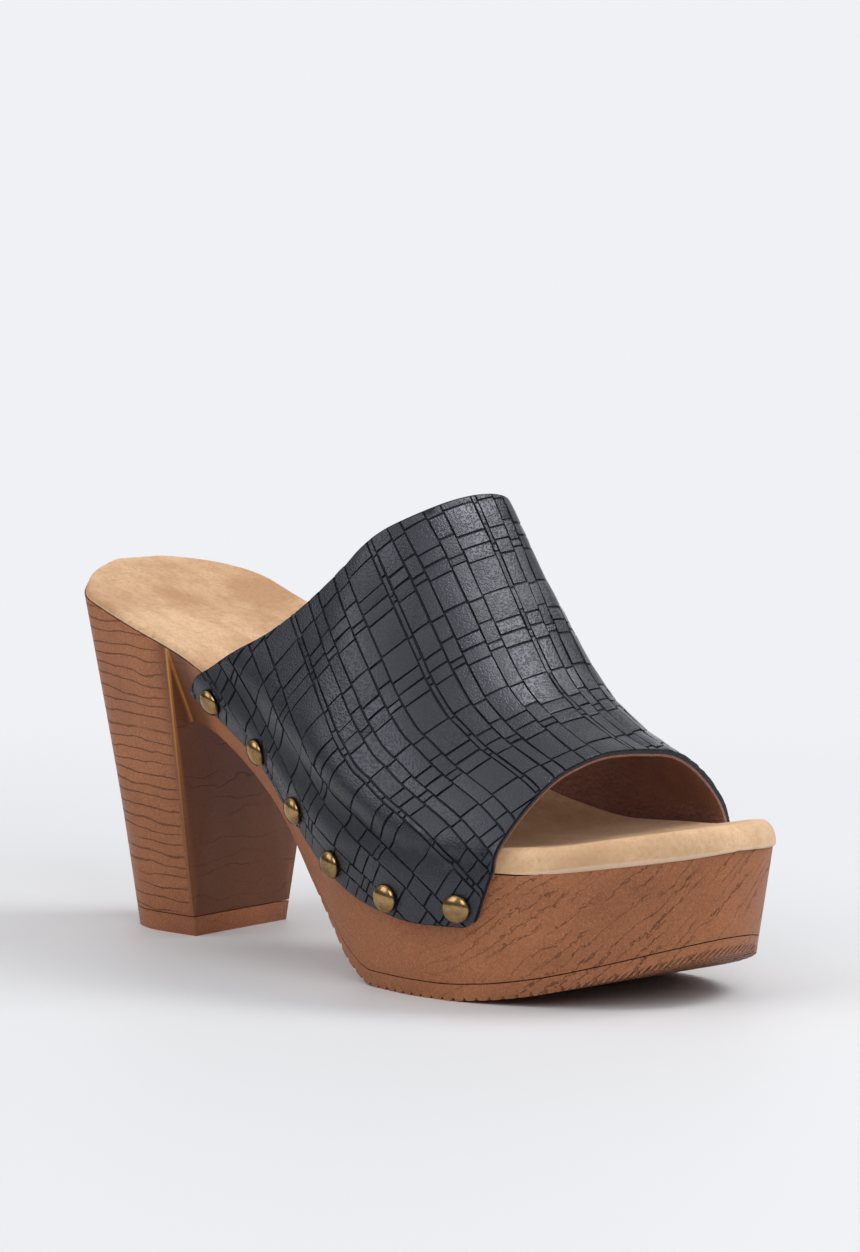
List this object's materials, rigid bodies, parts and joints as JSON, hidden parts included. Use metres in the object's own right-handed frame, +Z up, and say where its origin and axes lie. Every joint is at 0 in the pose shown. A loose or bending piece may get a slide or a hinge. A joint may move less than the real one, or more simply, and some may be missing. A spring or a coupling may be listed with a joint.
{
  "type": "heeled clog",
  "caption": "Open-toe heeled clog: embossed hide upper nailed along its margins to a moulded wood-effect platform with a block heel.",
  "frame": {"origin": "middle of the footprint's bounding box, on the floor", "axes": "+X towards the toe, +Y towards the inner side of the foot, +Z up from the floor"},
  "size_m": [0.2286, 0.0944, 0.1279],
  "materials": {
    "wood_effect": "moulded wood effect, satin, with darker grain",
    "tread": "matte brown",
    "insole_cover": "sueded tan",
    "hide": "black, embossed with irregular rectangles, satin",
    "aged_brass": "polished antique"
  },
  "bodies": {
    "root": {"sole_unit": "wood_effect", "heel_top_piece": "tread", "outsole": "tread", "insole": "insole_cover", "upper": "hide", "nail_outer_1": "aged_brass", "nail_outer_2": "aged_brass", "nail_outer_3": "aged_brass", "nail_outer_4": "aged_brass", "nail_outer_5": "aged_brass", "nail_outer_6": "aged_brass", "nail_inner_1": "aged_brass", "nail_inner_2": "aged_brass", "nail_inner_3": "aged_brass", "nail_inner_4": "aged_brass", "nail_inner_5": "aged_brass", "nail_inner_6": "aged_brass"}
  },
  "joints": []
}
